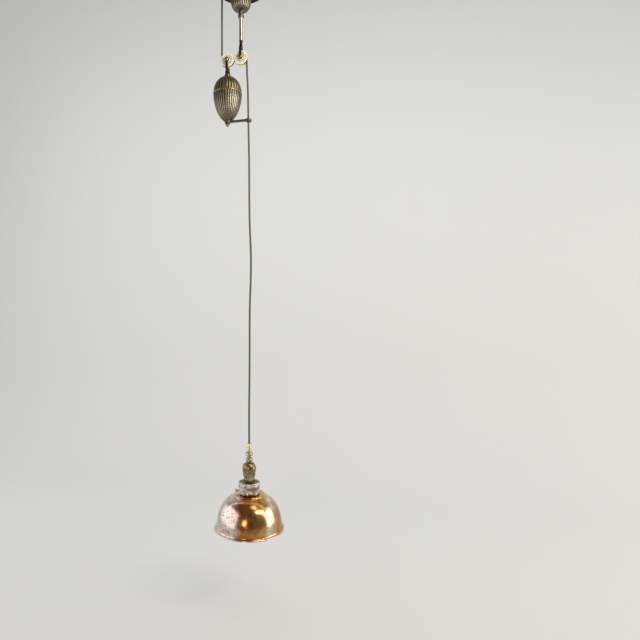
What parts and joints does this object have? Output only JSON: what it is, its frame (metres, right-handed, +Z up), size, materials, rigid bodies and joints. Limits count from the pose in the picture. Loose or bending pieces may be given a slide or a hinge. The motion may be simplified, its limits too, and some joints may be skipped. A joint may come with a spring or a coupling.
{
  "type": "rise and fall pendant",
  "caption": "Pendant lamp with a domed metal shade on a braided flex, balanced over porcelain pulleys by an egg-shaped fluted counterweight.",
  "frame": {"origin": "centre of the ceiling plate, on the ceiling", "axes": "+Z up into the ceiling, +X towards the lamp from the counterweight in the plane of the pulleys, -Y towards the viewer"},
  "size_m": [0.2025, 0.197, 1.523],
  "materials": {
    "dark_bronze": "satin",
    "antique_brass": "satin",
    "pale_brass": "gloss",
    "silvered_copper": "satin",
    "copper_shade": "polished",
    "dark_steel": "satin",
    "zinc_steel": "satin",
    "iron_ballast": "matte",
    "glazed_porcelain": "gloss",
    "black_fibre": "matte",
    "braided_flex": "matte"
  },
  "bodies": {
    "ceiling": {"mounting_bracket": "zinc_steel", "ceiling_plate": "dark_bronze", "plate_screws": "antique_brass", "stem_locknut": "zinc_steel", "ceiling_cup": "dark_bronze", "cup_collar": "antique_brass", "collar_screw": "zinc_steel", "stem_tube": "pale_brass", "terminal_block": "glazed_porcelain", "terminal_screws": "pale_brass", "strand_bush": "black_fibre", "strand_clamp": "black_fibre", "clamp_screws": "zinc_steel", "upper_yoke": "dark_steel", "upper_axle": "dark_steel", "upper_axle_nut": "antique_brass", "upper_washers": "dark_steel", "flex_anchor_strand": "braided_flex", "flex_crossing": "braided_flex", "flex_upper_wrap": "braided_flex", "flex_drop": "braided_flex"},
    "upper_wheel": {"upper_pulley": "glazed_porcelain", "upper_pulley_bush": "pale_brass"},
    "counterweight": {"lower_yoke": "dark_steel", "lower_axle": "dark_steel", "lower_axle_nut": "antique_brass", "lower_washers": "dark_steel", "weight_top_nut": "antique_brass", "weight_rod": "zinc_steel", "weight_lid": "antique_brass", "weight_body": "dark_bronze", "weight_ballast": "iron_ballast", "guide_arm": "dark_steel", "guide_ferrule": "antique_brass", "weight_end_washer": "antique_brass", "weight_end_nut": "antique_brass", "flex_lower_wrap": "braided_flex"},
    "lower_wheel": {"lower_pulley": "glazed_porcelain", "lower_pulley_bush": "pale_brass"},
    "lamp": {"cord_grip": "pale_brass", "grip_screw": "zinc_steel", "knob_upper": "antique_brass", "knob_lower": "antique_brass", "holder_nipple": "pale_brass", "holder_cap": "antique_brass", "holder_insert": "glazed_porcelain", "holder_skirt": "antique_brass", "case_screws": "pale_brass", "shade_ring": "antique_brass", "gallery": "silvered_copper", "shade": "copper_shade", "plunger_spring_1": "zinc_steel", "plunger_spring_2": "zinc_steel"},
    "thumb_1": {"thumb_screw_1": "pale_brass"},
    "thumb_2": {"thumb_screw_2": "pale_brass"},
    "thumb_3": {"thumb_screw_3": "pale_brass"},
    "plunger_1": {"contact_plunger_1": "pale_brass"},
    "plunger_2": {"contact_plunger_2": "pale_brass"}
  },
  "joints": [
    {"name": "counterweight_slide", "type": "slide", "parent": "ceiling", "child": "counterweight", "axis": [0, 0, 1], "range_m": [-0.29, 0], "deforming": ["flex_anchor_strand", "flex_crossing"]},
    {"name": "lamp_slide", "type": "slide", "parent": "ceiling", "child": "lamp", "axis": [0, 0, 1], "range_m": [0, 0.58], "deforming": ["flex_drop"]},
    {"name": "upper_pulley_spin", "type": "hinge", "parent": "ceiling", "child": "upper_wheel", "pos_m": [0, 0, -0.2065], "axis": [0, 1, 0], "range_deg": [-2020, 0]},
    {"name": "lower_pulley_spin", "type": "hinge", "parent": "counterweight", "child": "lower_wheel", "pos_m": [-0.03939, 0, -0.2095], "axis": [0, 1, 0], "range_deg": [0, 1010]},
    {"name": "thumb_1_turn", "type": "hinge", "parent": "lamp", "child": "thumb_1", "pos_m": [-0.00464, -0.00764, -1.418], "axis": [-0.9659, -0.2588, 0], "range_deg": [0, 1080]},
    {"name": "thumb_2_turn", "type": "hinge", "parent": "lamp", "child": "thumb_2", "pos_m": [0.04471, -0.02086, -1.418], "axis": [0.7071, -0.7071, 0], "range_deg": [0, 1080]},
    {"name": "thumb_3_turn", "type": "hinge", "parent": "lamp", "child": "thumb_3", "pos_m": [0.03148, 0.02849, -1.418], "axis": [0.2588, 0.9659, 0], "range_deg": [0, 1080]},
    {"name": "plunger_1_push", "type": "slide", "parent": "lamp", "child": "plunger_1", "axis": [0, 0, 1], "range_m": [0, 0.003], "stiffness_N_per_m": 300, "springref_m": -0.003, "deforming": ["plunger_spring_1"]},
    {"name": "plunger_2_push", "type": "slide", "parent": "lamp", "child": "plunger_2", "axis": [0, 0, 1], "range_m": [0, 0.003], "stiffness_N_per_m": 300, "springref_m": -0.003, "deforming": ["plunger_spring_2"]}
  ],
  "couplings": [
    {"joint": "lamp_slide", "follows": "counterweight_slide", "ratio": -2},
    {"joint": "upper_pulley_spin", "follows": "counterweight_slide", "rad_per_m": 121.21},
    {"joint": "lower_pulley_spin", "follows": "counterweight_slide", "rad_per_m": -60.606}
  ]
}
